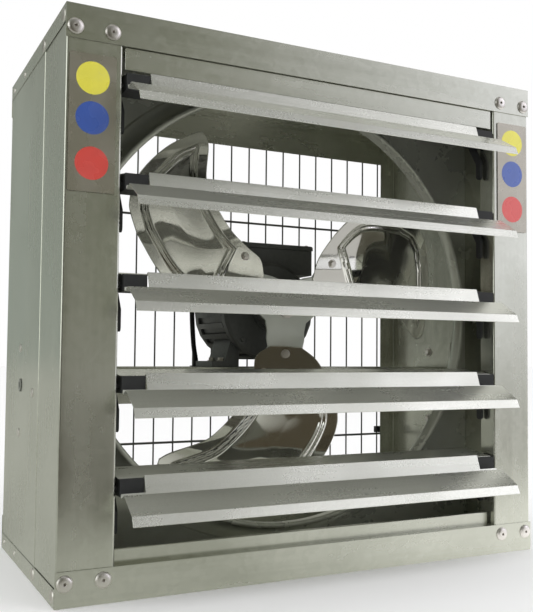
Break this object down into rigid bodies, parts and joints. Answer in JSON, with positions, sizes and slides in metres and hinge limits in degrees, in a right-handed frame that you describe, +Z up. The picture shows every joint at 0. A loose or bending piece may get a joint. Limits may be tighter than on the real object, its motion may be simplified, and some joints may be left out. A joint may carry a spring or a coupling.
{
  "type": "wall exhaust fan",
  "caption": "Square sheet-metal wall exhaust fan: linked shutter blades in front, propeller in a bell-mouth ring on its motor, wire guard behind.",
  "frame": {"origin": "middle of the housing's underside", "axes": "+Z up, -Y the way the air is blown out through the shutter, +X to the right seen from the shutter side"},
  "size_m": [0.74, 0.477, 0.74],
  "materials": {
    "galvanised": "bright galvanised sheet, faintly spangled",
    "polished_stainless": "mirror polished",
    "zinc_plate": "satin zinc plating",
    "bright_steel": "bright plated",
    "black_plastic": "moulded, matt",
    "motor_paint": "black enamel",
    "black_rubber": "matt rubber",
    "guard_wire": "dark plated welded wire",
    "cast_aluminium": "turned casting",
    "winding": "varnished copper on a steel core"
  },
  "bodies": {
    "housing": {"bottom_panel": "galvanised", "top_panel": "galvanised", "left_panel": "galvanised", "right_panel": "galvanised", "bottom_stop_strip": "galvanised", "top_stop_strip": "galvanised", "venturi_panel": "galvanised", "motor_crossbar": "galvanised", "left_mount_plate": "galvanised", "right_mount_plate": "galvanised", "corner_rivet_1": "bright_steel", "corner_rivet_2": "bright_steel", "corner_rivet_3": "bright_steel", "corner_rivet_4": "bright_steel", "corner_rivet_5": "bright_steel", "corner_rivet_6": "bright_steel", "corner_rivet_7": "bright_steel", "corner_rivet_8": "bright_steel", "front_bearing": "bright_steel", "rear_bearing": "bright_steel", "guard_clip_1": "black_plastic", "guard_clip_2": "black_plastic", "guard_clip_3": "black_plastic", "guard_clip_4": "black_plastic", "terminal_box": "black_plastic", "terminal_lid": "black_plastic", "cable_gland": "black_plastic", "motor_frame": "motor_paint", "front_end_shield": "motor_paint", "rear_end_shield": "motor_paint", "stator": "winding", "motor_cable": "black_rubber", "crossbar_grommet": "black_rubber", "side_grommet": "black_rubber", "guard_grille": "guard_wire"},
    "shutter_1": {"shutter_blade_1": "galvanised", "left_bracket_1": "black_plastic", "right_bracket_1": "black_plastic"},
    "shutter_2": {"shutter_blade_2": "galvanised", "left_bracket_2": "black_plastic", "right_bracket_2": "black_plastic"},
    "shutter_3": {"shutter_blade_3": "galvanised", "left_bracket_3": "black_plastic", "right_bracket_3": "black_plastic"},
    "shutter_4": {"shutter_blade_4": "galvanised", "left_bracket_4": "black_plastic", "right_bracket_4": "black_plastic"},
    "shutter_5": {"shutter_blade_5": "galvanised", "left_bracket_5": "black_plastic", "right_bracket_5": "black_plastic"},
    "link_rod": {"link_rod": "galvanised"},
    "propeller": {"hub_plate": "zinc_plate", "hub_boss": "cast_aluminium", "hub_bolt": "bright_steel", "rotor_shaft": "zinc_plate", "propeller_blade_1": "polished_stainless", "propeller_blade_2": "polished_stainless", "propeller_blade_3": "polished_stainless"}
  },
  "joints": [
    {"name": "fan_spin", "type": "hinge", "parent": "housing", "child": "propeller", "pos_m": [0, -0.0699, 0.377], "axis": [0, 1, 0], "continuous": true},
    {"name": "shutter_1_hinge", "type": "hinge", "parent": "housing", "child": "shutter_1", "pos_m": [0, -0.1875, 0.1373], "axis": [1, 0, 0], "range_deg": [-5, 60]},
    {"name": "shutter_2_hinge", "type": "hinge", "parent": "housing", "child": "shutter_2", "pos_m": [0, -0.1875, 0.2653], "axis": [1, 0, 0], "range_deg": [-5, 60]},
    {"name": "shutter_3_hinge", "type": "hinge", "parent": "housing", "child": "shutter_3", "pos_m": [0, -0.1875, 0.3933], "axis": [1, 0, 0], "range_deg": [-5, 60]},
    {"name": "shutter_4_hinge", "type": "hinge", "parent": "housing", "child": "shutter_4", "pos_m": [0, -0.1875, 0.5213], "axis": [1, 0, 0], "range_deg": [-5, 60]},
    {"name": "shutter_5_hinge", "type": "hinge", "parent": "housing", "child": "shutter_5", "pos_m": [0, -0.1875, 0.6493], "axis": [1, 0, 0], "range_deg": [-5, 60]},
    {"name": "link_rod_hinge", "type": "hinge", "parent": "shutter_1", "child": "link_rod", "pos_m": [0, -0.17346, 0.0833], "axis": [1, 0, 0], "range_deg": [-60, 5]}
  ],
  "couplings": [
    {"joint": "shutter_2_hinge", "follows": "shutter_1_hinge", "ratio": 1},
    {"joint": "shutter_3_hinge", "follows": "shutter_1_hinge", "ratio": 1},
    {"joint": "shutter_4_hinge", "follows": "shutter_1_hinge", "ratio": 1},
    {"joint": "shutter_5_hinge", "follows": "shutter_1_hinge", "ratio": 1},
    {"joint": "link_rod_hinge", "follows": "shutter_1_hinge", "ratio": -1}
  ]
}
